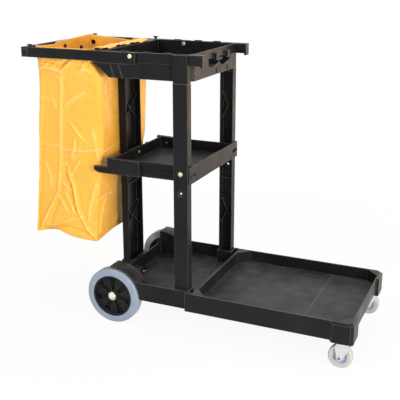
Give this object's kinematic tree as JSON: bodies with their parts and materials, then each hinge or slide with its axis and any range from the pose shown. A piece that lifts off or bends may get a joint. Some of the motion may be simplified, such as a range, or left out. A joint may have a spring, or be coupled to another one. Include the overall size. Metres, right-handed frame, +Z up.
{
  "type": "janitor cart",
  "caption": "Janitor cart with a yellow bag in a hooked frame, a deep top tray, a middle shelf on ribbed columns and a low load platform on casters.",
  "frame": {"origin": "middle of the footprint, on the floor", "axes": "+X towards the load platform, +Y to the left side, +Z up"},
  "size_m": [1.204, 0.4866, 0.977],
  "materials": {
    "black_plastic": "satin black polypropylene",
    "grommet_plastic": "black",
    "blue_grey_tyre": "smooth non-marking rubber",
    "pale_tyre": "smooth non-marking rubber",
    "pale_core": "smooth",
    "bush_nylon": "smooth",
    "zinc_steel": "bright zinc plate",
    "brassy_zinc": "yellow zinc plate",
    "yellow_vinyl": "soft vinyl with a slight sheen"
  },
  "bodies": {
    "cart": {"base_tray": "black_plastic", "platform": "black_plastic", "platform_screws": "zinc_steel", "rear_axle": "zinc_steel", "axle_washers": "zinc_steel", "axle_caps": "brassy_zinc", "caster_plate_left": "zinc_steel", "caster_plate_right": "zinc_steel", "caster_screws": "zinc_steel", "kingpin_left": "zinc_steel", "kingpin_right": "zinc_steel", "rear_column": "black_plastic", "front_column_left": "black_plastic", "front_column_right": "black_plastic", "column_bolts": "zinc_steel", "middle_shelf": "black_plastic", "shelf_front": "black_plastic", "shelf_arm_left": "black_plastic", "shelf_arm_right": "black_plastic", "shelf_arm_screws": "zinc_steel", "shelf_bolts": "brassy_zinc", "top_tray": "black_plastic", "tray_front": "black_plastic", "tray_leg_left": "black_plastic", "tray_leg_right": "black_plastic", "tray_handle_left": "black_plastic", "tray_handle_right": "black_plastic", "tray_bolts": "zinc_steel", "rear_nuts": "zinc_steel", "bag_frame": "black_plastic", "frame_bolts": "brassy_zinc", "frame_nuts": "zinc_steel", "bag": "yellow_vinyl", "bag_grommets": "grommet_plastic"},
    "rear_wheel_left": {"wheel_hub_left": "black_plastic", "tyre_left": "blue_grey_tyre", "wheel_bush_left": "bush_nylon"},
    "caster_swivel_left": {"caster_race_left": "zinc_steel", "caster_fork_left": "zinc_steel", "caster_axle_left": "zinc_steel", "caster_nut_left": "zinc_steel"},
    "caster_wheel_left": {"caster_core_left": "pale_core", "caster_tyre_left": "pale_tyre"},
    "rear_wheel_right": {"wheel_hub_right": "black_plastic", "tyre_right": "blue_grey_tyre", "wheel_bush_right": "bush_nylon"},
    "caster_swivel_right": {"caster_race_right": "zinc_steel", "caster_fork_right": "zinc_steel", "caster_axle_right": "zinc_steel", "caster_nut_right": "zinc_steel"},
    "caster_wheel_right": {"caster_core_right": "pale_core", "caster_tyre_right": "pale_tyre"}
  },
  "joints": [
    {"name": "rear_wheel_left_spin", "type": "hinge", "parent": "cart", "child": "rear_wheel_left", "pos_m": [-0.263, 0.214, 0.1015], "axis": [0, 1, 0], "continuous": true},
    {"name": "caster_left_swivel", "type": "hinge", "parent": "cart", "child": "caster_swivel_left", "pos_m": [0.572, 0.211, 0.088], "axis": [0, 0, 1], "continuous": true},
    {"name": "caster_wheel_left_spin", "type": "hinge", "parent": "caster_swivel_left", "child": "caster_wheel_left", "pos_m": [0.56, 0.211, 0.04], "axis": [0, 1, 0], "continuous": true},
    {"name": "rear_wheel_right_spin", "type": "hinge", "parent": "cart", "child": "rear_wheel_right", "pos_m": [-0.263, -0.214, 0.1015], "axis": [0, 1, 0], "continuous": true},
    {"name": "caster_right_swivel", "type": "hinge", "parent": "cart", "child": "caster_swivel_right", "pos_m": [0.572, -0.211, 0.088], "axis": [0, 0, 1], "continuous": true},
    {"name": "caster_wheel_right_spin", "type": "hinge", "parent": "caster_swivel_right", "child": "caster_wheel_right", "pos_m": [0.56, -0.211, 0.04], "axis": [0, 1, 0], "continuous": true}
  ]
}
